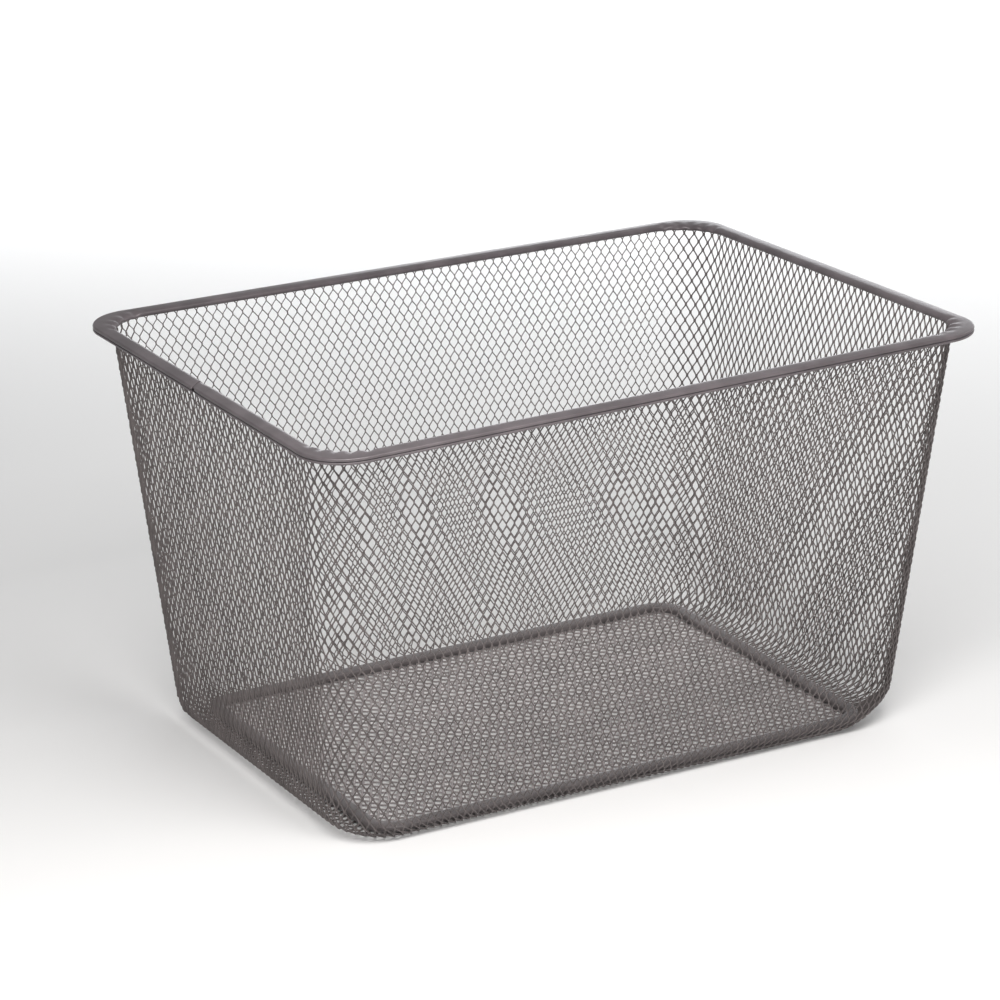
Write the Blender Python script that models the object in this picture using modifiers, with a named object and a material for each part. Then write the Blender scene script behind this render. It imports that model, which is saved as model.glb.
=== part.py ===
# Metal storage bin of expanded steel
#
# A tapered rectangular bin with rounded corners. One long strip of diamond mesh is wrapped
# round as the wall, rolled inwards at its foot and turned under, in a wider roll on the short
# sides than on the long ones. A flat panel of the same mesh is the floor. A pressed steel
# channel covers the joint between the two all round, and a rolled steel strip, with its ends
# lapped on the left side, makes the rim.
# Units are metres, +Z is up, the long sides lie along X and the bin stands on z = 0.

import math

import bpy
import bmesh

# Whole bin
BIN_LENGTH = 0.400
BIN_WIDTH = 0.2945
BIN_HEIGHT = 0.2252
FIT_GAP = 0.0003

# Diamond mesh sheet
MESH_THICKNESS = 0.0012
STRAND_WIDTH = 0.0026
SELVEDGE = 0.0012

# Wall
WALL_COLUMNS = 36
WALL_ROWS = 8
WALL_TOP_INSET = 0.0082
WALL_TOP_CORNER = 0.0280
FOOT_CORNER = 0.0365
FOOT_INSET = 0.0290
FOOT_RADIUS = 0.0110
FOOT_BENDS = 2

# How far the short sides differ from the long ones: their foot stands further out and their
# turned edge, with the channel on it, lies further in
SHORT_FOOT_SHIFT = 0.0050
SHORT_EDGE_SHIFT = 0.0047

# Floor
FLOOR_COLUMNS = 12
FLOOR_ROWS = 8
FLOOR_JOINT = 0.0020

# Channel over the joint between wall and floor
BAND_CLEARANCE = 0.0008
BAND_WIDTH = 0.0081
BAND_HEIGHT = 0.0036
BAND_THICKNESS = 0.0008
BAND_CORNER = 0.0220
BAND_EDGE_RADIUS = 0.0009
BAND_PINCH = 0.0009
BAND_EDGE_STEPS = 2
BAND_CORNER_STEPS = 6

# Rolled rim
RIM_WIDTH = 0.0095
RIM_DEPTH = 0.0040
RIM_THICKNESS = 0.0006
RIM_CORNER = 0.0265
RIM_INNER_CORNER = 0.0280
RIM_CROWN = 0.00025
RIM_SHOULDER_RADIUS = 0.0008
RIM_SHOULDER_TURN = math.radians(140)
RIM_SHOULDER_STEPS = 3
RIM_ROLL_REACH = 0.0025
RIM_ROLL_STEPS = 5
RIM_LIP_RADIUS = 0.00045
RIM_LIP_TURN = math.radians(160)
RIM_LIP_STEPS = 3
RIM_CORNER_STEPS = 10

# Lapped ends of the rim strip, on the left side
LAP_PLACE = 0.005
LAP_LENGTH = 0.009
LAP_NECK = 0.011
LAP_TURN = math.radians(45)

# Puckers that the bend leaves on the inner side of each rim corner
PUCKERS = 3
PUCKER_DEPTH = 0.0005

# Merging distance for points that meet
MERGE = 0.00001


def clear_scene():
    for old in list(bpy.data.objects):
        bpy.data.objects.remove(old)


def new_collection(name):
    collection = bpy.data.collections.new(name)
    bpy.context.scene.collection.children.link(collection)
    return collection


def steel(name, colour, roughness, metallic):
    material = bpy.data.materials.new(name)
    material.use_nodes = True
    shader = material.node_tree.nodes["Principled BSDF"]
    shader.inputs["Base Color"].default_value = (*colour, 1.0)
    shader.inputs["Roughness"].default_value = roughness
    shader.inputs["Metallic"].default_value = metallic
    material.diffuse_color = (*colour, 1.0)
    return material


def sheet_object(name, bm, thickness, material, collection):
    """An object whose open surface becomes sheet metal, half its thickness on either side."""
    mesh = bpy.data.meshes.new(name)
    bm.to_mesh(mesh)
    bm.free()
    mesh.materials.append(material)
    piece = bpy.data.objects.new(name, mesh)
    collection.objects.link(piece)
    solidify = piece.modifiers.new("Sheet", "SOLIDIFY")
    solidify.thickness = thickness
    solidify.offset = 0
    solidify.use_even_offset = True
    return piece


def smooth_round(piece, angle):
    piece.data.shade_smooth()
    piece.data.set_sharp_from_angle(angle=angle)


# Outlines

def quadrant_point(half_x, half_y, radius, share):
    """A point on a quarter of a rounded rectangle, from the +X side's middle to the +Y side's."""
    side_run = half_y - radius
    arc_run = radius * math.pi / 2
    end_run = half_x - radius
    run = share * (side_run + arc_run + end_run)
    if run < side_run:
        return half_x, run
    if run < side_run + arc_run:
        angle = (run - side_run) / radius
        return half_x - radius + radius * math.cos(angle), side_run + radius * math.sin(angle)
    return end_run - (run - side_run - arc_run), half_y


def outline_point(half_x, half_y, radius, share):
    """A point on a whole rounded rectangle, anticlockwise from the +X side's middle."""
    quarter, part = divmod(share % 1 * 4, 1)
    if quarter in (1, 3):
        part = 1 - part
    x, y = quadrant_point(half_x, half_y, radius, part)
    if quarter in (1, 2):
        x = -x
    if quarter in (2, 3):
        y = -y
    return x, y


# Diamond net: nodes lie where column plus row is even, and each diamond is centred where it is odd

def add_net_faces(bm, place, first, last, rows):
    """Diamonds, half diamonds at the top and the foot, from column first to last."""
    corners = {}
    for i in range(first, last + 1):
        for j in range(rows + 1):
            if (i + j) % 2 == 0 or j in (0, rows):
                corners[i, j] = bm.verts.new(place(i, j))
    for i in range(first + 1, last):
        for j in range(rows + 1):
            if (i + j) % 2:
                above = (i, max(j - 1, 0))
                below = (i, min(j + 1, rows))
                ring = [corners[i - 1, j], corners[below], corners[i + 1, j], corners[above]]
                bm.faces.new(ring).material_index = 1
    return corners


def cut_diamonds(bm):
    """Widens every edge of the net into a strand and opens the diamonds."""
    edges = [e for e in bm.edges if any(f.material_index == 1 for f in e.link_faces)]
    bmesh.ops.bevel(
        bm, geom=edges, offset=STRAND_WIDTH / 2, offset_type="OFFSET", segments=1,
        profile=0.5, affect="EDGES", clamp_overlap=True, material=2,
    )
    holes = [f for f in bm.faces if f.material_index == 1]
    bmesh.ops.delete(bm, geom=holes, context="FACES")
    for face in bm.faces:
        face.material_index = 0


# Wall

def band_inset():
    """How far in the channel's outer face lies on the long sides."""
    return FOOT_INSET + FOOT_RADIUS + BAND_CLEARANCE


def joint_inset():
    return band_inset() + BAND_WIDTH / 2


def wall_profile():
    """Lengths and places along the wall's middle surface, from the rim down to the turned edge."""
    half = MESH_THICKNESS / 2
    top = BIN_HEIGHT - RIM_DEPTH - FIT_GAP
    bend = FOOT_RADIUS - half
    centre_inset = FOOT_INSET + FOOT_RADIUS
    centre_z = FOOT_RADIUS
    away_inset = WALL_TOP_INSET - centre_inset
    away_z = top - centre_z
    distance = math.hypot(away_inset, away_z)
    angle = math.atan2(away_z, away_inset) + math.acos(bend / distance)
    straight = math.sqrt(distance ** 2 - bend ** 2)
    arc = bend * (1.5 * math.pi - angle)
    edge_inset = joint_inset() - FLOOR_JOINT / 2
    return {
        "top": top, "bend": bend, "centre_inset": centre_inset, "centre_z": centre_z,
        "angle": angle, "straight": straight, "arc": arc, "edge_inset": edge_inset,
        "turned": edge_inset - centre_inset,
        "touch_inset": centre_inset + bend * math.cos(angle),
        "touch_z": centre_z + bend * math.sin(angle),
    }


def wall_level(run):
    """At a distance down the wall's middle surface: insets on the short and the long sides,
    height and corner radius."""
    p = wall_profile()
    if run <= p["straight"]:
        share = run / p["straight"]
        inset = WALL_TOP_INSET + (p["touch_inset"] - WALL_TOP_INSET) * share
        z = p["top"] + (p["touch_z"] - p["top"]) * share
        corner = WALL_TOP_CORNER + (FOOT_CORNER - WALL_TOP_CORNER) * share
        return inset - SHORT_FOOT_SHIFT * share, inset, z, corner
    if run <= p["straight"] + p["arc"]:
        angle = p["angle"] + (run - p["straight"]) / p["bend"]
        inset = p["centre_inset"] + p["bend"] * math.cos(angle)
        z = p["centre_z"] + p["bend"] * math.sin(angle)
    else:
        inset = p["centre_inset"] + run - p["straight"] - p["arc"]
        z = p["centre_z"] - p["bend"]
    share = (inset - p["touch_inset"]) / (p["edge_inset"] - p["touch_inset"])
    edge_corner = BAND_CORNER - (p["edge_inset"] - band_inset())
    corner = FOOT_CORNER + (edge_corner - FOOT_CORNER) * share
    shift = (SHORT_FOOT_SHIFT + SHORT_EDGE_SHIFT) * share - SHORT_FOOT_SHIFT
    return inset + shift, inset, z, corner


def wall_mesh(material, collection):
    p = wall_profile()
    length = p["straight"] + p["arc"] + p["turned"]
    girth = 2 * (BIN_LENGTH + BIN_WIDTH) - 8 * FOOT_INSET
    step = girth / (2 * WALL_COLUMNS)
    rows = WALL_ROWS + 1

    def down(j):
        if j < rows:
            return SELVEDGE + (p["straight"] - SELVEDGE) * j / WALL_ROWS
        return length - SELVEDGE

    bm = bmesh.new()
    end = 2 * WALL_COLUMNS + 2
    corners = add_net_faces(bm, lambda i, j: (i * step, -down(j), 0), -2, end, rows)
    for j, edge in ((0, 0.0), (rows, length)):
        outer = [bm.verts.new((i * step, -edge, 0)) for i in range(-2, end + 1)]
        inner = [corners[i, j] for i in range(-2, end + 1)]
        for n in range(len(outer) - 1):
            ring = [inner[n], inner[n + 1], outer[n + 1], outer[n]]
            bm.faces.new(ring if j == 0 else ring[::-1])
    cut_diamonds(bm)
    for x, keep_right in ((0.0, True), (2 * WALL_COLUMNS * step, False)):
        bmesh.ops.bisect_plane(
            bm, geom=bm.verts[:] + bm.edges[:] + bm.faces[:], dist=MERGE / 10,
            plane_co=(x, 0, 0), plane_no=(1, 0, 0),
            clear_inner=keep_right, clear_outer=not keep_right,
        )
    for n in range(1, FOOT_BENDS + 1):
        run = p["straight"] + p["arc"] * n / FOOT_BENDS
        bmesh.ops.bisect_plane(
            bm, geom=bm.verts[:] + bm.edges[:] + bm.faces[:], dist=MERGE / 10,
            plane_co=(0, -run, 0), plane_no=(0, 1, 0),
        )
    for vert in bm.verts:
        short_inset, long_inset, z, corner = wall_level(-vert.co.y)
        share = vert.co.x / (2 * WALL_COLUMNS * step)
        half_x = BIN_LENGTH / 2 - short_inset
        half_y = BIN_WIDTH / 2 - long_inset
        x, y = outline_point(half_x, half_y, corner, share)
        vert.co = (x, y, z)
    bmesh.ops.remove_doubles(bm, verts=bm.verts[:], dist=MERGE)
    bmesh.ops.recalc_face_normals(bm, faces=bm.faces[:])
    return sheet_object("wall_mesh", bm, MESH_THICKNESS, material, collection)


# Floor

def rounded_corner(x, y, half_x, half_y, radius):
    """Moves a point of a rectangle inwards, near a corner, so that the corner is round."""
    over_x = abs(x) - (half_x - radius)
    over_y = abs(y) - (half_y - radius)
    if over_x <= 0 or over_y <= 0:
        return x, y
    share = max(over_x, over_y) / math.hypot(over_x, over_y)
    new_x = half_x - radius + over_x * share
    new_y = half_y - radius + over_y * share
    return math.copysign(new_x, x), math.copysign(new_y, y)


def floor_mesh(material, collection):
    inset = joint_inset() + FLOOR_JOINT / 2
    half_x = BIN_LENGTH / 2 - inset - SHORT_EDGE_SHIFT
    half_y = BIN_WIDTH / 2 - inset
    corner = BAND_CORNER - (inset - band_inset())
    columns, rows = 2 * FLOOR_COLUMNS, FLOOR_ROWS
    z = MESH_THICKNESS / 2

    def place(i, j, edge):
        x = (half_x - edge) * (2 * i / columns - 1)
        y = (half_y - edge) * (1 - 2 * j / rows)
        x, y = rounded_corner(x, y, half_x - edge, half_y - edge, corner - edge)
        return x, y, z

    bm = bmesh.new()
    corners = {}
    for i in range(columns + 1):
        for j in range(rows + 1):
            if (i + j) % 2 == 0 or i in (0, columns) or j in (0, rows):
                corners[i, j] = bm.verts.new(place(i, j, SELVEDGE))
    for i in range(columns + 1):
        for j in range(rows + 1):
            if (i + j) % 2:
                ring = [
                    corners[max(i - 1, 0), j], corners[i, min(j + 1, rows)],
                    corners[min(i + 1, columns), j], corners[i, max(j - 1, 0)],
                ]
                bm.faces.new(ring).material_index = 1
    edge_round = [(i, 0) for i in range(columns)] + [(columns, j) for j in range(rows)]
    edge_round += [(i, rows) for i in range(columns, 0, -1)] + [(0, j) for j in range(rows, 0, -1)]
    outer = [bm.verts.new(place(i, j, 0)) for i, j in edge_round]
    inner = [corners[spot] for spot in edge_round]
    for n in range(len(outer)):
        bm.faces.new([inner[n - 1], inner[n], outer[n], outer[n - 1]])
    cut_diamonds(bm)
    bmesh.ops.recalc_face_normals(bm, faces=bm.faces[:])
    return sheet_object("floor_mesh", bm, MESH_THICKNESS, material, collection)


# Swept strips

def sweep(stations, closed):
    """A surface through sections, each a list of points, in order along the strip."""
    bm = bmesh.new()
    rows = [[bm.verts.new(point) for point in section] for section in stations]
    pairs = list(zip(rows, rows[1:]))
    if closed:
        pairs.append((rows[-1], rows[0]))
    for here, there in pairs:
        for n in range(len(here) - 1):
            bm.faces.new([here[n], here[n + 1], there[n + 1], there[n]])
    bmesh.ops.recalc_face_normals(bm, faces=bm.faces[:])
    return bm


def band_section():
    """The channel's middle surface: distance in from its outer edge, and height."""
    half = BAND_THICKNESS / 2
    base = MESH_THICKNESS + FIT_GAP
    crown = base + BAND_HEIGHT - half
    radius = BAND_EDGE_RADIUS
    side = [(half + BAND_PINCH, base)]
    for n in range(BAND_EDGE_STEPS + 1):
        angle = math.pi - n / BAND_EDGE_STEPS * math.pi / 2
        side.append((half + radius + radius * math.cos(angle), crown - radius + radius * math.sin(angle)))
    return side + [(BAND_WIDTH - u, z) for u, z in reversed(side)]


def base_band(material, collection):
    half_x = BIN_LENGTH / 2 - band_inset() - SHORT_EDGE_SHIFT
    half_y = BIN_WIDTH / 2 - band_inset()
    section = band_section()
    stations = []
    for turn, (sign_x, sign_y) in enumerate(((1, 1), (-1, 1), (-1, -1), (1, -1))):
        for n in range(BAND_CORNER_STEPS + 1):
            angle = (turn + n / BAND_CORNER_STEPS) * math.pi / 2
            centre_x = sign_x * (half_x - BAND_CORNER)
            centre_y = sign_y * (half_y - BAND_CORNER)
            stations.append([
                (centre_x + (BAND_CORNER - u) * math.cos(angle),
                 centre_y + (BAND_CORNER - u) * math.sin(angle), z)
                for u, z in section
            ])
    piece = sheet_object("base_band", sweep(stations, True), BAND_THICKNESS, material, collection)
    smooth_round(piece, math.radians(40))
    return piece


def rim_tuck():
    """How far the tucked end is drawn in, to clear the end that laps over it."""
    return RIM_THICKNESS + FIT_GAP


def rim_section(width, neck, pucker):
    """The rolled strip's middle surface: distance in from the outer face, and drop from the top.

    It runs from the free edge over the shoulder, across the crowned top, round the inner roll,
    back along the underside and round the outer lip. neck draws the whole section in and
    straightens its edges, for the tucked end.
    """
    half = RIM_THICKNESS / 2 + neck
    foot = -RIM_DEPTH + half
    straight = neck / rim_tuck()
    shoulder = RIM_SHOULDER_RADIUS
    shoulder_turn = RIM_SHOULDER_TURN + (LAP_TURN - RIM_SHOULDER_TURN) * straight
    points = []
    for n in range(RIM_SHOULDER_STEPS + 1):
        angle = shoulder_turn * (1 - n / RIM_SHOULDER_STEPS)
        points.append((
            half + shoulder - shoulder * math.sin(angle),
            -half - RIM_CROWN - shoulder + shoulder * math.cos(angle),
        ))
    middle = (foot - half) / 2
    roll = (-half - foot) / 2
    roll_u = width - half - RIM_ROLL_REACH
    for n in range(RIM_ROLL_STEPS + 1):
        angle = math.pi / 2 - n / RIM_ROLL_STEPS * math.pi
        dent = pucker * max(math.sin(angle), 0)
        points.append((roll_u + RIM_ROLL_REACH * math.cos(angle), middle + roll * math.sin(angle) - dent))
    lip = RIM_LIP_RADIUS
    lip_turn = RIM_LIP_TURN + (LAP_TURN - RIM_LIP_TURN) * straight
    for n in range(RIM_LIP_STEPS + 1):
        angle = lip_turn * n / RIM_LIP_STEPS
        points.append((half + lip - lip * math.sin(angle), foot + lip - lip * math.cos(angle)))
    return points


def rim_side_station(y, neck):
    """A section across the left side of the rim."""
    return [(-BIN_LENGTH / 2 + u, y, BIN_HEIGHT + v) for u, v in rim_section(RIM_WIDTH, neck, 0.0)]


def rim_corner_stations(turn, sign_x, sign_y):
    """Sections fanned about the centre of the rim's inner corner, wider than on the sides."""
    inner_x = BIN_LENGTH / 2 - RIM_WIDTH - RIM_INNER_CORNER
    inner_y = BIN_WIDTH / 2 - RIM_WIDTH - RIM_INNER_CORNER
    shift = RIM_WIDTH + RIM_INNER_CORNER - RIM_CORNER
    stations = []
    for n in range(RIM_CORNER_STEPS + 1):
        share = n / RIM_CORNER_STEPS
        angle = (turn + share) * math.pi / 2
        across = max(abs(math.cos(angle)), abs(math.sin(angle)))
        reach = (RIM_WIDTH + RIM_INNER_CORNER) / across
        along = min(abs(math.cos(angle)), abs(math.sin(angle))) * reach
        if along > shift:
            toward = shift * (abs(math.cos(angle)) + abs(math.sin(angle)))
            reach = toward + math.sqrt(toward ** 2 - 2 * shift ** 2 + RIM_CORNER ** 2)
        wave = 0.5 - 0.5 * math.cos(2 * math.pi * PUCKERS * share)
        section = rim_section(reach - RIM_INNER_CORNER, 0.0, PUCKER_DEPTH * wave)
        stations.append([
            (sign_x * inner_x + (reach - u) * math.cos(angle),
             sign_y * inner_y + (reach - u) * math.sin(angle), BIN_HEIGHT + v)
            for u, v in section
        ])
    return stations


def rim_edging(material, collection):
    tuck = rim_tuck()
    stations = [rim_side_station(LAP_PLACE + LAP_LENGTH, tuck), rim_side_station(LAP_PLACE, tuck)]
    stations.append(rim_side_station(LAP_PLACE - LAP_NECK, 0.0))
    for turn, sign_x, sign_y in ((2, -1, -1), (3, 1, -1), (4, 1, 1), (5, -1, 1)):
        stations += rim_corner_stations(turn, sign_x, sign_y)
    stations.append(rim_side_station(LAP_PLACE, 0.0))
    piece = sheet_object("rim_edging", sweep(stations, False), RIM_THICKNESS, material, collection)
    smooth_round(piece, math.radians(40))
    return piece


def main():
    clear_scene()
    collection = new_collection("metal_storage_bin")
    mesh_steel = steel("powder_coated_mesh", (0.165, 0.150, 0.150), 0.50, 0.35)
    rim_steel = steel("powder_coated_rim", (0.200, 0.180, 0.185), 0.42, 0.35)
    band_steel = steel("powder_coated_band", (0.185, 0.168, 0.172), 0.45, 0.35)
    wall_mesh(mesh_steel, collection)
    floor_mesh(mesh_steel.copy(), collection)
    base_band(band_steel, collection)
    rim_edging(rim_steel, collection)


main()
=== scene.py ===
# The looks of the metal storage bin: fine expanded mesh, rolled rim, channel and powder coat
#
# Metres, +Z up, the bin's foot on z = 0 and its long sides along X. Sizes that the CAD model settles
# are read from the boxes of its parts in model.glb. The rest are named below.

import math

import bpy
import numpy as np
from mathutils import Matrix, Vector


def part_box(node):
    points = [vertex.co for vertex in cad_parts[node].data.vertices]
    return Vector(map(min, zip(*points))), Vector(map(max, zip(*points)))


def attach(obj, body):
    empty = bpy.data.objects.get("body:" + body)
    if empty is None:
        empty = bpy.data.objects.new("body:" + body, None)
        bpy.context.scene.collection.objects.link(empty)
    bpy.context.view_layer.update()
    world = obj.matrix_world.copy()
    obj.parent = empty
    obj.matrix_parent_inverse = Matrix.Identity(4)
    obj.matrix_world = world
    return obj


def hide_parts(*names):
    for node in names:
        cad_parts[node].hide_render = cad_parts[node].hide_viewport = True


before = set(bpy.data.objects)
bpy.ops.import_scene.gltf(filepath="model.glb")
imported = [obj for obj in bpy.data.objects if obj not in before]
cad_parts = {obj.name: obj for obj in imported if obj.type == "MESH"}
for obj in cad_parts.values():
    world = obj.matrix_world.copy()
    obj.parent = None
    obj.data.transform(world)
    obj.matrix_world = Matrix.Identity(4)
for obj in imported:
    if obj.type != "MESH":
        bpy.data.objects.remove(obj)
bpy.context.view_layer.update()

# Boxes of the CAD nodes
RIM_LOW, RIM_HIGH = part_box("rim_edging")
BAND_LOW, BAND_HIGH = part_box("base_band")

# Whole bin
HALF_LENGTH = RIM_HIGH[0]
HALF_WIDTH = RIM_HIGH[1]
HEIGHT = RIM_HIGH[2]

# The real bin's rim sits a little high at its front right corner
CORNER_LIFT = 0.0063

# Expanded steel: a strand is a bar of rectangular section, tilted like a louvre
STRAND_WIDTH = 0.00075
STRAND_THICKNESS = 0.00060
STRAND_TILT = math.radians(60)
BOND_LENGTH = 0.0013

# Wall, measured on the middle surface of its net
WALL_COLUMNS = 222
ROW_RUN = 0.0047
FIRST_ROW_SHARE = 0.5
NET_TUCK = 0.0010
WALL_TOP_INSET = 0.0082
WALL_TOP_CORNER = 0.0280
FOOT_CORNER = 0.0315
FOOT_INSET = 0.0300
FOOT_RADIUS = 0.0135
SHORT_FOOT_SHIFT = 0.0050
NET_DEPTH = STRAND_WIDTH * math.sin(STRAND_TILT) + STRAND_THICKNESS * math.cos(STRAND_TILT) / 2

# How late, on the way to the turned edge, the corner takes the channel's radius
SKIRT_CORNER_POWER = 1.5

# The foot's bend at the back right, back left, front left and front right corners
CORNER_FOOT_RADII = (0.0180, 0.0215, 0.0115, 0.0220)

# How wide the wall's openings are, at shares of the way round, anticlockwise from the middle of
# the right side. Only the ratios count
PITCH_STEPS = 721
PITCH_PLACE_SHARES = (
    0.0, 0.08, 0.12, 0.156, 0.22, 0.25, 0.334, 0.40, 0.46,
    0.53, 0.60, 0.64, 0.70, 0.80, 0.86, 0.92, 1.0,
)
PITCH_SHARES = (
    1.165, 1.165, 1.03, 1.055, 1.03, 1.04, 1.11, 1.10, 1.08,
    1.18, 1.10, 0.93, 0.90, 0.90, 0.97, 1.05, 1.165,
)

# Floor
FLOOR_STRAND_WIDTH = 0.00110
FLOOR_STRAND_TILT = math.radians(-40)
FLOOR_NET_DEPTH = (FLOOR_STRAND_WIDTH * math.sin(abs(FLOOR_STRAND_TILT))
                   + STRAND_THICKNESS * math.cos(FLOOR_STRAND_TILT) / 2)
FLOOR_COLUMN_PITCH = 0.0055
FLOOR_ROW_RUN = 0.0048
FLOOR_JOINT = 0.0020

# Channel
BAND_INSET = HALF_WIDTH - BAND_HIGH[1]
SHORT_EDGE_SHIFT = HALF_LENGTH - BAND_HIGH[0] - BAND_INSET
BAND_WIDTH = 0.0081
BAND_CORNER = 0.0185
BAND_THICKNESS = 0.0008
BAND_EDGE_RADIUS = 0.0010
BAND_PINCH = 0.0010
BAND_EDGE_STEPS = 4
BAND_CORNER_STEPS = 16

# Rolled rim
RIM_WIDTH = 0.0095
RIM_DEPTH = RIM_HIGH[2] - RIM_LOW[2]
RIM_THICKNESS = 0.0006
RIM_CORNER = 0.0265
RIM_INNER_CORNER = 0.0280
RIM_CROWN = 0.0004
RIM_TOP_STEPS = 7
RIM_SHOULDER_RADIUS = 0.0008
RIM_SHOULDER_TURN = math.radians(140)
RIM_SHOULDER_STEPS = 8
RIM_ROLL_REACH = 0.0029
RIM_ROLL_STEPS = 12
RIM_LIP_RADIUS = 0.00045
RIM_LIP_TURN = math.radians(160)
RIM_LIP_STEPS = 8
RIM_CORNER_STEPS = 40
RIM_SIDE_STEP = 0.004
LAP_PLACE = 0.005
LAP_LENGTH = 0.009
LAP_NECK = 0.011
LAP_TUCK = 0.00055
LAP_PRESS = 0.0002
LAP_SLANT = 0.008
LAP_TURN = math.radians(45)
PUCKER_DEPTH = 0.0011
PUCKER_SHARES = (0.16, 0.33, 0.50, 0.66, 0.84)
PUCKER_WIDTH_SHARE = 0.045
PUCKER_START_SHARE = 0.40

# Powder coats: colour, roughness, metallic share, and scale of the orange peel's grain
COATS = {
    "mesh_coat": ((0.152, 0.132, 0.130), 0.50, 0.15, 900),
    # The floor's coat is the walls' paint made about three times lighter: painted light on the floor
    # strands, whose tops face up to the lamps
    "floor_coat_painted_light": ((0.430, 0.385, 0.388), 0.45, 0.10, 900),
    "rim_coat": ((0.140, 0.121, 0.129), 0.34, 0.15, 1400),
    "band_coat": ((0.165, 0.146, 0.148), 0.42, 0.15, 1400),
}

# Cloudy tone: noise, and places on its ramp with the factor on the colour there
CLOUD_SCALE = 60
CLOUD_DETAIL = 4
CLOUD_TONES = ((0.35, 0.82), (0.65, 1.14))

# Orange peel: noise, how far the roughness varies either way, and bump
PEEL_DETAIL = 2
PEEL_ROUGHNESS = 0.06
PEEL_STRENGTH = 0.25
PEEL_DEPTH = 0.0001

# Studio
GROUND_HALF = 12.0
GROUND_COLOUR = (0.93, 0.93, 0.93, 1)
GROUND_ROUGHNESS = 0.9
GROUND_SPECULAR = 0.1
ROOM_COLOUR = (1, 1, 1, 1)
ROOM_STRENGTH = 0.36

# Area lights: name, place, target, width and height, watts, colour, and spread in degrees
LIGHTS = (
    ("front_floor", (-0.30, -0.60, 0.8), (-0.30, -0.60, 0), (0.9, 0.4), 10.5, (1, 0.98, 0.96), 180),
    ("back_floor", (1.0, 2.3, 2.0), (0.95, 2.25, 0), (2.6, 1.4), 48, (0.98, 0.99, 1), 90),
    ("back_strip", (2.0, 2.3, 0.45), (0.1, 0.0, 0.2), (1.8, 0.7), 12, (0.95, 0.97, 1), 180),
    ("right", (1.3, 0.1, 0.9), (0.8, 0.1, 0), (0.8, 0.8), 3, (1, 1, 1), 180),
)

# Camera: yaw is to the right of +Y and pitch is down
CAMERA_YAW = math.radians(29.128)
CAMERA_PITCH = math.radians(19.285)
CAMERA_ROLL = math.radians(-0.727)
CAMERA_LENS = 144.34
CAMERA_SENSOR = 36
CAMERA_PLACE = (-1.0209, -1.7974, 0.8503)


def lift(x, y, z):
    """How far the front right corner stands up, less towards the other corners and the foot."""
    along = 0.5 + x / (2 * HALF_LENGTH)
    across = 0.5 - y / (2 * HALF_WIDTH)
    height = np.clip((z - FOOT_RADIUS) / (HEIGHT - FOOT_RADIUS), 0, 1)
    return CORNER_LIFT * along * across * height


# Outlines

def quadrant_point(half_x, half_y, radius, run):
    """Place and outward direction on a quarter of a rounded rectangle, arrays allowed."""
    side = half_y - radius
    arc = radius * math.pi / 2
    angle = np.clip((run - side) / radius, 0, math.pi / 2)
    past = np.maximum(run - side - arc, 0)
    x = half_x - radius + radius * np.cos(angle) - past
    y = np.minimum(run, side) + radius * np.sin(angle)
    return x, y, np.cos(angle), np.sin(angle)


def outline_point(half_x, half_y, radius, share):
    """Place and outward direction on a rounded rectangle, anticlockwise from the +X side's middle."""
    quarter, part = np.divmod(share % 1 * 4, 1)
    part = np.where((quarter == 1) | (quarter == 3), 1 - part, part)
    girth = half_x + half_y - (2 - math.pi / 2) * radius
    x, y, nx, ny = quadrant_point(half_x, half_y, radius, part * girth)
    flip_x = np.where((quarter == 1) | (quarter == 2), -1.0, 1.0)
    flip_y = np.where(quarter >= 2, -1.0, 1.0)
    return x * flip_x, y * flip_y, nx * flip_x, ny * flip_y


# Bars of expanded metal

def add_bar(store, centres, widths, thicks):
    """A bar of rectangular section, given as its centres, half widths and half thicknesses.

    The cross product of a half width and a half thickness points back along the bar, which
    turns its faces outwards. Each bar has its own strip of the UV map.
    """
    count = len(centres)
    corners = np.stack([
        centres + widths + thicks, centres + widths - thicks,
        centres - widths - thicks, centres - widths + thicks,
    ], axis=1).reshape(-1, 3)
    base = store["count"]
    rows = base + 4 * np.arange(count - 1)[:, None]
    step = np.arange(4)
    ahead = (step + 1) % 4
    quads = np.stack([rows + step, rows + ahead, rows + 4 + ahead, rows + 4 + step], axis=2)
    caps = np.array([[3, 2, 1, 0], [4 * count - 4, 4 * count - 3, 4 * count - 2, 4 * count - 1]])
    store["points"].append(corners)
    store["faces"].append(quads.reshape(-1, 4))
    store["faces"].append(caps + base)
    across = np.stack([step, step + 1, step + 1, step], axis=1) / 4 + store["bars"]
    along = np.arange(count - 1)[:, None, None] + np.array([0, 0, 1, 1])
    sheet = np.stack(np.broadcast_arrays(across[None], along), axis=3).reshape(-1, 2)
    cap_sheet = np.array([[0, 0], [0.25, 0], [0.25, 0.5], [0, 0.5]]) + [store["bars"], 0]
    store["sheet"] += [sheet, cap_sheet, cap_sheet + [0, count - 1.5]]
    store["count"] += len(corners)
    store["bars"] += 1


def net_object(name, store, material):
    """A piece made of the bars in a store."""
    points = np.concatenate(store["points"])
    faces = np.concatenate(store["faces"])
    mesh = bpy.data.meshes.new(name)
    mesh.vertices.add(len(points))
    mesh.vertices.foreach_set("co", points.ravel())
    mesh.loops.add(faces.size)
    mesh.loops.foreach_set("vertex_index", faces.ravel())
    mesh.polygons.add(len(faces))
    mesh.polygons.foreach_set("loop_start", np.arange(len(faces)) * 4)
    mesh.update(calc_edges=True)
    sheet = np.concatenate(store["sheet"])
    mesh.uv_layers.new(name="OFBake").uv.foreach_set("vector", (sheet / sheet.max(axis=0)).ravel())
    mesh.materials.append(material)
    piece = bpy.data.objects.new(name, mesh)
    bpy.context.scene.collection.objects.link(piece)
    return piece


def new_store():
    """Room for bars: counts of points and bars, then arrays of points, faces and UV places."""
    return {"count": 0, "bars": 0, "points": [], "faces": [], "sheet": []}


# Wall

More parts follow.
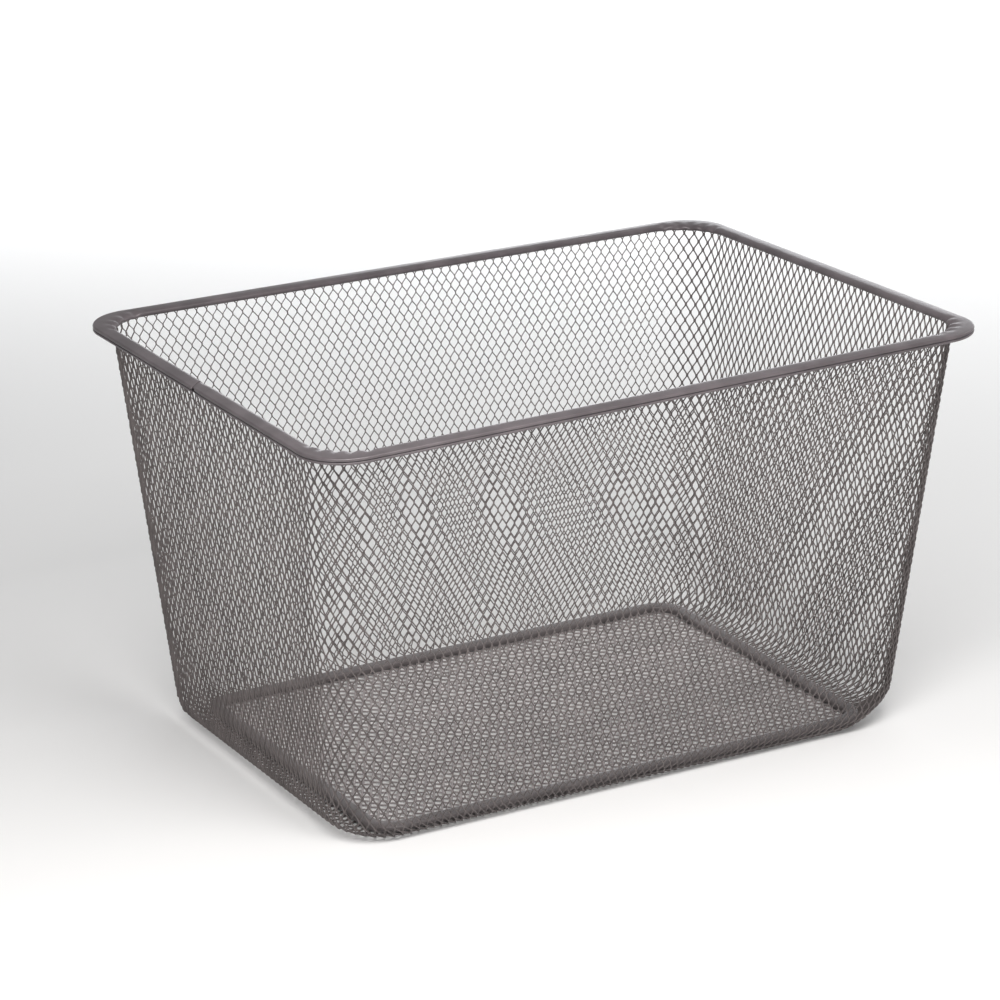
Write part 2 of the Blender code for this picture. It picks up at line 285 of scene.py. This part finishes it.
def foot_radius(share):
    """The foot's bend at shares of the way round the wall. Each corner has its own."""
    half_x = HALF_LENGTH - FOOT_INSET
    half_y = HALF_WIDTH - FOOT_INSET
    _, _, nx, ny = outline_point(half_x, half_y, FOOT_CORNER, share)
    corner = np.take(CORNER_FOOT_RADII, (share % 1 * 4).astype(int))
    return FOOT_RADIUS + (corner - FOOT_RADIUS) * 2 * np.abs(nx * ny)


def wall_profile(radius):
    """The wall's middle surface, from the rim down to the turned edge, with a bend of radius.

    Gives the top's height, the bend's own radius, its centre's inset and its starting angle, the
    lengths of the straight and the bend, the turned edge's inset, and the length in all.
    """
    top = HEIGHT - RIM_DEPTH + NET_TUCK
    edge_inset = BAND_INSET + BAND_WIDTH / 2 - FLOOR_JOINT / 2
    bend = radius - NET_DEPTH
    centre_inset = FOOT_INSET + radius
    away_inset = WALL_TOP_INSET - centre_inset
    away_z = top - radius
    distance = np.hypot(away_inset, away_z)
    start = np.arctan2(away_z, away_inset) + np.arccos(bend / distance)
    end = math.pi + np.arccos(np.clip((centre_inset - edge_inset) / bend, 0, 1))
    straight = np.sqrt(distance ** 2 - bend ** 2)
    arc = bend * (end - start)
    length = straight + arc + np.maximum(edge_inset - centre_inset, 0)
    return top, bend, centre_inset, start, straight, arc, edge_inset, length


def wall_level(share, radius):
    """The wall's middle surface at shares of its length down from the rim, for bends of radius.

    Gives insets on the short and the long sides, height, corner radius, and the outward
    normal's level and upward parts.
    """
    top, bend, centre_inset, start, straight, arc, edge_inset, length = wall_profile(radius)
    run = share * length
    edge_corner = BAND_CORNER - (edge_inset - BAND_INSET)
    touch_inset = centre_inset + bend * np.cos(start)
    touch_z = radius + bend * np.sin(start)
    down = np.clip(run / straight, 0, 1)
    angle = start + np.clip(run - straight, 0, arc) / bend
    past = np.maximum(run - straight - arc, 0)
    curled = run > straight
    inset = np.where(
        curled, centre_inset + bend * np.cos(angle) + past,
        WALL_TOP_INSET + (touch_inset - WALL_TOP_INSET) * down,
    )
    z = np.where(curled, radius + bend * np.sin(angle), top + (touch_z - top) * down)
    under = np.clip((inset - touch_inset) / (edge_inset - touch_inset), 0, 1) * curled
    corner = WALL_TOP_CORNER + (FOOT_CORNER - WALL_TOP_CORNER) * down
    corner = corner + (edge_corner - FOOT_CORNER) * under ** SKIRT_CORNER_POWER
    shift = (SHORT_FOOT_SHIFT + SHORT_EDGE_SHIFT) * under - SHORT_FOOT_SHIFT * down
    return inset + shift, inset, z, corner, -np.cos(angle), np.sin(angle)


def wall_shares():
    """Where the half columns stand, in shares of the way round the wall."""
    fine = np.linspace(0, 1, PITCH_STEPS)
    pitch = np.interp(fine, PITCH_PLACE_SHARES, PITCH_SHARES)
    count = np.concatenate([[0], np.cumsum(1 / ((pitch[1:] + pitch[:-1]) / 2))])
    return np.interp(np.arange(2 * WALL_COLUMNS) / (2 * WALL_COLUMNS), count / count[-1], fine)


def strand_stations(first, last, row_run):
    """Runs along a strand, and how far it has crossed from one bond's side to the other's.

    A strand keeps to one side for the length of a bond, then crosses to the other side.
    """
    rows = np.arange(math.ceil(first / row_run) - 1, math.floor(last / row_run) + 2)
    run = (rows * row_run + np.array([[-0.5], [0.5]]) * BOND_LENGTH).T.ravel()
    side = np.repeat(rows % 2, 2).astype(float)
    ends = np.array([first, last])
    end_side = np.interp(ends, run, side)
    inside = (run > first) & (run < last)
    run = np.concatenate([ends[:1], run[inside], ends[1:]])
    return run, np.concatenate([end_side[:1], side[inside], end_side[1:]])


def wall_nets(material):
    """The wall's strands in four pieces, one round each side."""
    *_, length = wall_profile(FOOT_RADIUS)
    offset = FIRST_ROW_SHARE * ROW_RUN
    run, side = strand_stations(offset, length + offset, ROW_RUN)
    share = wall_shares()
    down = (run - offset)[None, :] / length
    short, long, z, corner, level, upward = wall_level(down, foot_radius(share)[:, None])
    x, y, nx, ny = outline_point(HALF_LENGTH - short, HALF_WIDTH - long, corner, share[:, None])
    z = z + lift(x, y, z)
    place = np.stack([x, y, z], axis=2)
    normal = np.stack([nx * level, ny * level, upward], axis=2)
    along = np.stack([-ny, nx, np.zeros_like(nx)], axis=2)
    cosine, sine = math.cos(STRAND_TILT), math.sin(STRAND_TILT)
    half_width = STRAND_WIDTH / 2 * (cosine * along - sine * normal)
    half_thick = -STRAND_THICKNESS / 2 * (sine * along + cosine * normal)
    pieces = []
    count = 2 * WALL_COLUMNS
    for name, start in (("right", -1), ("back", 1), ("left", 3), ("front", 5)):
        store = new_store()
        for n in range(count * start // 8, count * (start + 2) // 8):
            k, after = n % count, (n + 1) % count
            crossed = side[:, None] if k % 2 == 0 else 1 - side[:, None]
            near = place[k] + half_width[k]
            far = place[after] - half_width[after]
            add_bar(store, near + (far - near) * crossed,
                    half_width[k] + (half_width[after] - half_width[k]) * crossed,
                    half_thick[k] + (half_thick[after] - half_thick[k]) * crossed)
        pieces.append(net_object("wall_net_" + name, store, material))
    return pieces


# Floor

def floor_net(material):
    """The floor's strands, which run along Y and end under the channel."""
    inset = BAND_INSET + BAND_WIDTH / 2 + FLOOR_JOINT / 2
    half_x = HALF_LENGTH - inset - SHORT_EDGE_SHIFT
    half_y = HALF_WIDTH - inset
    corner = BAND_CORNER - (inset - BAND_INSET)
    half_pitch = FLOOR_COLUMN_PITCH / 2
    columns = int(half_x / half_pitch)
    cosine, sine = math.cos(FLOOR_STRAND_TILT), math.sin(FLOOR_STRAND_TILT)
    half_width = FLOOR_STRAND_WIDTH / 2 * np.array([cosine, 0, sine])
    half_thick = STRAND_THICKNESS / 2 * np.array([-sine, 0, cosine])
    store = new_store()
    for k in range(-columns, columns):
        over = np.maximum(np.abs(k + 0.5) * half_pitch - (half_x - corner), 0)
        reach = half_y - corner + math.sqrt(max(corner ** 2 - over ** 2, 0))
        y, side = strand_stations(-reach, reach, FLOOR_ROW_RUN)
        crossed = side if k % 2 == 0 else 1 - side
        x = k * half_pitch + half_width[0] + crossed * (half_pitch - 2 * half_width[0])
        z = FLOOR_NET_DEPTH + half_width[2] * (1 - 2 * crossed)
        centres = np.stack([x, y, z], axis=1)
        add_bar(store, centres, np.broadcast_to(half_width, centres.shape),
                np.broadcast_to(half_thick, centres.shape))
    return net_object("floor_net", store, material)


# Strips of sheet swept round the bin

def swept_sheet(name, stations, closed, thickness, material):
    """A sheet through sections, each an array of points, in order along the strip."""
    stations = np.array(stations)
    count, width = stations.shape[:2]
    last = count if closed else count - 1
    here = np.arange(last)[:, None] * width + np.arange(width - 1)
    there = (np.arange(last)[:, None] + 1) % count * width + np.arange(width - 1)
    faces = np.stack([here, here + 1, there + 1, there], axis=2).reshape(-1, 4)
    mesh = bpy.data.meshes.new(name)
    mesh.from_pydata(stations.reshape(-1, 3).tolist(), [], faces.tolist())
    mesh.materials.append(material)
    mesh.shade_smooth()
    piece = bpy.data.objects.new(name, mesh)
    bpy.context.scene.collection.objects.link(piece)
    solidify = piece.modifiers.new("Sheet", "SOLIDIFY")
    solidify.thickness = thickness
    solidify.offset = 0
    solidify.use_even_offset = True
    return piece


def straight_steps(start, end, step):
    """Places between two ends, about a step apart, with the ends left out."""
    count = max(int(abs(end - start) / step), 1)
    return [start + (end - start) * n / count for n in range(1, count)]


def band_section():
    """The channel's middle surface: distance in from its outer face, and height."""
    half = BAND_THICKNESS / 2
    base = BAND_LOW[2]
    crown = BAND_HIGH[2] - half
    radius = BAND_EDGE_RADIUS
    side = [(half + BAND_PINCH, base), (half + BAND_PINCH / 3, base + BAND_PINCH)]
    for n in range(BAND_EDGE_STEPS + 1):
        angle = math.pi - n / BAND_EDGE_STEPS * math.pi / 2
        side.append((half + radius + radius * math.cos(angle),
                     crown - radius + radius * math.sin(angle)))
    return side + [(BAND_WIDTH - u, z) for u, z in reversed(side)]


def base_channel(material):
    """The channel, anticlockwise round its four corners from the back right one."""
    half_x = BAND_HIGH[0]
    half_y = BAND_HIGH[1]
    section = band_section()
    stations = []
    for turn, sign_x, sign_y in ((0, 1, 1), (1, -1, 1), (2, -1, -1), (3, 1, -1)):
        centre = (sign_x * (half_x - BAND_CORNER), sign_y * (half_y - BAND_CORNER))
        for n in range(BAND_CORNER_STEPS + 1):
            angle = (turn + n / BAND_CORNER_STEPS) * math.pi / 2
            stations.append([
                (centre[0] + (BAND_CORNER - u) * math.cos(angle),
                 centre[1] + (BAND_CORNER - u) * math.sin(angle), z)
                for u, z in section
            ])
    return swept_sheet("base_channel", stations, True, BAND_THICKNESS, material)


def rim_section(width, neck, pucker):
    """The rolled strip's middle surface: distance in from the outer face, and drop from the top.

    It runs from the free edge over the shoulder, across the crowned top, round the inner roll,
    back along the underside and round the outer lip. neck draws the whole section in and
    straightens its edges, for the tucked end. A pucker pulls the inner half down.
    """
    half = RIM_THICKNESS / 2 + neck
    foot = -RIM_DEPTH + half
    straight = min(neck / LAP_TUCK, 1)
    shoulder = RIM_SHOULDER_RADIUS
    edge_v = -half - RIM_CROWN
    points = []
    turn = RIM_SHOULDER_TURN + (LAP_TURN - RIM_SHOULDER_TURN) * straight
    for angle in np.linspace(turn, 0, RIM_SHOULDER_STEPS + 1):
        points.append((half + shoulder - shoulder * math.sin(angle),
                       edge_v - shoulder + shoulder * math.cos(angle)))
    roll_u = width - half - RIM_ROLL_REACH
    for share in np.linspace(0, 1, RIM_TOP_STEPS + 1)[1:-1]:
        points.append((half + shoulder + (roll_u - half - shoulder) * share,
                       edge_v + RIM_CROWN * math.sin(share * math.pi / 2)))
    middle = (foot - half) / 2
    roll = (-half - foot) / 2
    for angle in np.linspace(math.pi / 2, -math.pi / 2, RIM_ROLL_STEPS + 1):
        points.append((roll_u + RIM_ROLL_REACH * math.cos(angle), middle + roll * math.sin(angle)))
    lip = RIM_LIP_RADIUS
    turn = RIM_LIP_TURN + (LAP_TURN - RIM_LIP_TURN) * straight
    for angle in np.linspace(0, turn, RIM_LIP_STEPS + 1):
        points.append((half + lip - lip * math.sin(angle), foot + lip - lip * math.cos(angle)))
    return [puckered(u, v, width, pucker) for u, v in points]


def puckered(u, v, width, pucker):
    """A point of the rim's section after a pucker, which leaves the underside as it is."""
    inward = np.clip((u / width - PUCKER_START_SHARE) / (1 - PUCKER_START_SHARE), 0, 1)
    upward = np.clip(2 + 2 * v / RIM_DEPTH, 0, 1)
    dent = pucker * inward * inward * (3 - 2 * inward) * upward
    return u - dent / 2, v - dent


def rim_station(origin, direction, reach, width, neck, pucker):
    """A section whose outer face is reach from origin along a level direction."""
    station = []
    for u, v in rim_section(width, neck, pucker):
        x = origin[0] + (reach - u) * direction[0]
        y = origin[1] + (reach - u) * direction[1]
        station.append((x, y, HEIGHT + v + lift(x, y, HEIGHT)))
    return station


def rim_corner_stations(turn, sign_x, sign_y):
    """Sections fanned about the centre of the rim's inner corner, wider than on the sides."""
    inner = (
        sign_x * (HALF_LENGTH - RIM_WIDTH - RIM_INNER_CORNER),
        sign_y * (HALF_WIDTH - RIM_WIDTH - RIM_INNER_CORNER),
    )
    shift = RIM_WIDTH + RIM_INNER_CORNER - RIM_CORNER
    stations = []
    for n in range(RIM_CORNER_STEPS + 1):
        share = n / RIM_CORNER_STEPS
        angle = (turn + share) * math.pi / 2
        level = (math.cos(angle), math.sin(angle))
        across, along = max(map(abs, level)), min(map(abs, level))
        reach = (RIM_WIDTH + RIM_INNER_CORNER) / across
        if along * reach > shift:
            toward = shift * (abs(level[0]) + abs(level[1]))
            reach = toward + math.sqrt(toward ** 2 - 2 * shift ** 2 + RIM_CORNER ** 2)
        fold = sum(math.exp(-((share - p) / PUCKER_WIDTH_SHARE) ** 2) for p in PUCKER_SHARES)
        stations.append(rim_station(
            inner, level, reach, reach - RIM_INNER_CORNER, 0.0, PUCKER_DEPTH * fold,
        ))
    return stations


def rim_side_stations(turn, start, end):
    """Sections along a straight side. turn counts the sides anticlockwise from +X."""
    level = (round(math.cos(turn * math.pi / 2)), round(math.sin(turn * math.pi / 2)))
    out = HALF_LENGTH if level[0] else HALF_WIDTH
    stations = []
    for place in straight_steps(start, end, RIM_SIDE_STEP):
        origin = (-level[1] * place, level[0] * place)
        stations.append(rim_station(origin, level, out, RIM_WIDTH, 0.0, 0.0))
    return stations


def rim_strip(material):
    """The rim, anticlockwise from the tucked end on the left side to the end that laps over it."""
    tuck = LAP_TUCK
    left = (-1, 0)
    side_x = HALF_LENGTH - RIM_WIDTH - RIM_INNER_CORNER
    side_y = HALF_WIDTH - RIM_WIDTH - RIM_INNER_CORNER

    def at(y, neck):
        section = rim_station((0, y), left, HALF_LENGTH, RIM_WIDTH, neck, 0.0)
        slant = LAP_SLANT * max(0, 1 - abs(y - LAP_PLACE) / LAP_NECK)
        return [(x, y + slant * ((x + HALF_LENGTH) / RIM_WIDTH - 0.5), z) for x, y, z in section]

    stations = [at(LAP_PLACE + LAP_LENGTH, tuck), at(LAP_PLACE, tuck)]
    stations += [at(LAP_PLACE - LAP_NECK / 4, tuck), at(LAP_PLACE - LAP_NECK / 2, tuck / 2)]
    stations.append(at(LAP_PLACE - LAP_NECK, 0.0))
    stations += rim_side_stations(2, LAP_NECK - LAP_PLACE, side_y)
    for turn, sign_x, sign_y in ((2, -1, -1), (3, 1, -1), (4, 1, 1), (5, -1, 1)):
        stations += rim_corner_stations(turn, sign_x, sign_y)
        if turn < 5:
            half = side_x if turn % 2 == 0 else side_y
            stations += rim_side_stations((turn + 1) % 4, -half, half)
    stations += rim_side_stations(2, -side_y, -LAP_PLACE - LAP_NECK)
    stations += [at(LAP_PLACE + LAP_NECK, 0.0), at(LAP_PLACE + LAP_NECK / 2, 0.0)]
    stations += [at(LAP_PLACE + RIM_THICKNESS, 0.0), at(LAP_PLACE, LAP_PRESS)]
    return swept_sheet("rim_strip", stations, False, RIM_THICKNESS, material)


# Materials

def powder_coat(name, colour, roughness, metallic, grain):
    """Satin powder coat: an orange peel in roughness and bump, and a faint cloudy tone."""
    material = bpy.data.materials.new(name)
    material.use_nodes = True
    nodes, links = material.node_tree.nodes, material.node_tree.links
    shader = nodes["Principled BSDF"]
    shader.inputs["Metallic"].default_value = metallic
    place = nodes.new("ShaderNodeTexCoord")
    clouds = nodes.new("ShaderNodeTexNoise")
    clouds.inputs["Scale"].default_value = CLOUD_SCALE
    clouds.inputs["Detail"].default_value = CLOUD_DETAIL
    links.new(place.outputs["Object"], clouds.inputs["Vector"])
    tone = nodes.new("ShaderNodeValToRGB")
    for stop, (position, factor) in zip(tone.color_ramp.elements, CLOUD_TONES):
        stop.position = position
        stop.color = (*[c * factor for c in colour], 1)
    links.new(clouds.outputs["Fac"], tone.inputs["Fac"])
    links.new(tone.outputs["Color"], shader.inputs["Base Color"])
    peel = nodes.new("ShaderNodeTexNoise")
    peel.inputs["Scale"].default_value = grain
    peel.inputs["Detail"].default_value = PEEL_DETAIL
    links.new(place.outputs["Object"], peel.inputs["Vector"])
    rough = nodes.new("ShaderNodeMapRange")
    rough.inputs["To Min"].default_value = roughness - PEEL_ROUGHNESS
    rough.inputs["To Max"].default_value = roughness + PEEL_ROUGHNESS
    links.new(peel.outputs["Fac"], rough.inputs["Value"])
    links.new(rough.outputs["Result"], shader.inputs["Roughness"])
    bump = nodes.new("ShaderNodeBump")
    bump.inputs["Strength"].default_value = PEEL_STRENGTH
    bump.inputs["Distance"].default_value = PEEL_DEPTH
    links.new(peel.outputs["Fac"], bump.inputs["Height"])
    links.new(bump.outputs["Normal"], shader.inputs["Normal"])
    return material


def ground_material():
    material = bpy.data.materials.new("studio_floor")
    material.use_nodes = True
    shader = material.node_tree.nodes["Principled BSDF"]
    shader.inputs["Base Color"].default_value = GROUND_COLOUR
    shader.inputs["Roughness"].default_value = GROUND_ROUGHNESS
    shader.inputs["Specular IOR Level"].default_value = GROUND_SPECULAR
    return material


# Room, lights and camera

def studio_floor():
    mesh = bpy.data.meshes.new("studio_floor")
    signs = ((-1, -1), (1, -1), (1, 1), (-1, 1))
    corners = [(x * GROUND_HALF, y * GROUND_HALF, 0) for x, y in signs]
    mesh.from_pydata(corners, [], [(0, 1, 2, 3)])
    mesh.materials.append(ground_material())
    floor = bpy.data.objects.new("studio_floor", mesh)
    bpy.context.scene.collection.objects.link(floor)


def area_light(name, place, target, size, power, colour, spread):
    data = bpy.data.lights.new(name, "AREA")
    data.shape = "RECTANGLE"
    data.size, data.size_y = size
    data.energy = power
    data.color = colour
    data.spread = math.radians(spread)
    lamp = bpy.data.objects.new(name, data)
    lamp.location = place
    aim = Vector(target) - Vector(place)
    lamp.rotation_euler = aim.to_track_quat("-Z", "Y").to_euler()
    bpy.context.scene.collection.objects.link(lamp)


def studio_light():
    """A dim, even room with soft light on the ground in front, behind and at the right.

    A low strip at the back right gives the near rims their sheen.
    """
    world = bpy.data.worlds.new("studio")
    world.use_nodes = True
    world.node_tree.nodes["Background"].inputs["Color"].default_value = ROOM_COLOUR
    world.node_tree.nodes["Background"].inputs["Strength"].default_value = ROOM_STRENGTH
    bpy.context.scene.world = world
    for light in LIGHTS:
        area_light(*light)


def camera():
    """The photo's view: a long lens, from the front left and above."""
    data = bpy.data.cameras.new("camera")
    data.lens = CAMERA_LENS
    data.sensor_width = CAMERA_SENSOR
    right = Vector((math.cos(CAMERA_YAW), -math.sin(CAMERA_YAW), 0))
    level = math.cos(CAMERA_PITCH)
    ahead = Vector((
        math.sin(CAMERA_YAW) * level, math.cos(CAMERA_YAW) * level, -math.sin(CAMERA_PITCH),
    ))
    up = right.cross(ahead)
    across = math.cos(CAMERA_ROLL) * right + math.sin(CAMERA_ROLL) * up
    upward = math.cos(CAMERA_ROLL) * up - math.sin(CAMERA_ROLL) * right
    eye = bpy.data.objects.new("camera", data)
    eye.matrix_world = Matrix((across, upward, -ahead)).transposed().to_4x4()
    eye.location = CAMERA_PLACE
    bpy.context.scene.collection.objects.link(eye)
    bpy.context.scene.camera = eye


def dress(piece, node):
    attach(piece, "root")
    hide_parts(node)


def main():
    coats = {name: powder_coat(name, *look) for name, look in COATS.items()}
    for net in wall_nets(coats["mesh_coat"]):
        dress(net, "wall_mesh")
    dress(floor_net(coats["floor_coat_painted_light"]), "floor_mesh")
    dress(base_channel(coats["band_coat"]), "base_band")
    dress(rim_strip(coats["rim_coat"]), "rim_edging")
    studio_floor()
    studio_light()
    camera()
    bpy.context.scene.view_settings.view_transform = "Standard"


main()
